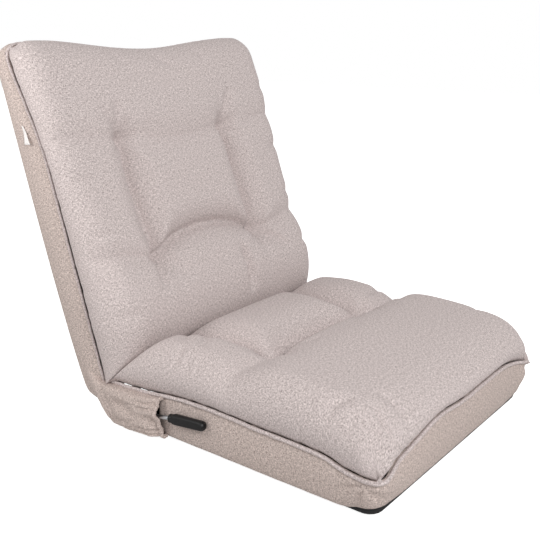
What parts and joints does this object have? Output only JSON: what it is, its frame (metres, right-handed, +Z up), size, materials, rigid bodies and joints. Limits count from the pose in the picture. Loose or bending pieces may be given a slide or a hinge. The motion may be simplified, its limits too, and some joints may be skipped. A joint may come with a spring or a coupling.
{
  "type": "folding floor chair",
  "caption": "Legless floor chair: a quilted fabric seat and tall quilted back on a tube frame, joined by lever-released toothed hinges that recline flat and fold forward.",
  "frame": {"origin": "on the floor, under the middle of the hinge axis between seat and back, on the base cloth", "axes": "+Z up, -Y the way a sitter faces, +X to the sitter's left"},
  "size_m": [0.6324, 0.8189, 0.6982],
  "materials": {
    "linen_cloth": "melange weave",
    "elastic_edge": "gathered weave",
    "tag_cloth": "satin ribbon",
    "base_cloth": "non-woven",
    "foam": "open foam",
    "grip_plastic": "moulded",
    "bush_nylon": "moulded",
    "zinc_steel": "zinc plated",
    "spring_steel": "oiled",
    "frame_paint": "powder coat"
  },
  "bodies": {
    "seat": {"back_return_spring_left": "spring_steel", "back_return_spring_right": "spring_steel", "hinge_spacers": "zinc_steel", "lever_return_spring": "spring_steel", "seat_base_cloth": "base_cloth", "seat_cross_bar_front": "frame_paint", "seat_cross_bar_rear": "frame_paint", "seat_foam_core": "foam", "seat_frame_bolts": "zinc_steel", "seat_frame_tube": "frame_paint", "seat_hinge_plate_inner_left": "frame_paint", "seat_hinge_plate_inner_right": "frame_paint", "seat_hinge_plate_outer_left": "frame_paint", "seat_hinge_plate_outer_right": "frame_paint", "seat_pad": "linen_cloth", "seat_side_band": "linen_cloth", "seat_welt": "linen_cloth", "spring_pegs": "zinc_steel"},
    "backrest": {"back_frame_tube": "frame_paint", "back_cross_bar_low": "frame_paint", "back_cross_bar_high": "frame_paint", "ratchet_plate_left": "zinc_steel", "ratchet_plate_right": "zinc_steel", "hinge_bolts": "zinc_steel", "hinge_bushes": "bush_nylon", "hinge_nuts": "zinc_steel", "back_frame_bolts": "zinc_steel", "back_rear_panel": "linen_cloth", "back_side_band": "linen_cloth", "back_foam_core": "foam", "back_welt": "linen_cloth", "side_tag": "tag_cloth", "back_pad": "linen_cloth", "hinge_sleeve_left": "linen_cloth", "hinge_sleeve_right": "linen_cloth", "sleeve_binding_left": "elastic_edge", "sleeve_binding_right": "elastic_edge"},
    "release_lever": {"pawl_left": "zinc_steel", "pawl_right": "zinc_steel", "lever_cross_shaft": "zinc_steel", "lever_rod": "zinc_steel", "lever_grip": "grip_plastic"}
  },
  "joints": [
    {"name": "recline", "type": "hinge", "parent": "seat", "child": "backrest", "pos_m": [0, 0, 0.048], "axis": [-1, 0, 0], "range_deg": [-60, 76.5], "deforming": ["seat_pad", "back_pad", "hinge_sleeve_left", "hinge_sleeve_right", "sleeve_binding_left", "sleeve_binding_right", "back_return_spring_left", "back_return_spring_right"]},
    {"name": "lever_lift", "type": "hinge", "parent": "seat", "child": "release_lever", "pos_m": [0, -0.048, 0.051], "axis": [-1, 0, 0], "range_deg": [-5, 8], "stiffness_Nm_per_rad": 4, "springref_deg": 1.72, "deforming": ["lever_return_spring"]}
  ]
}
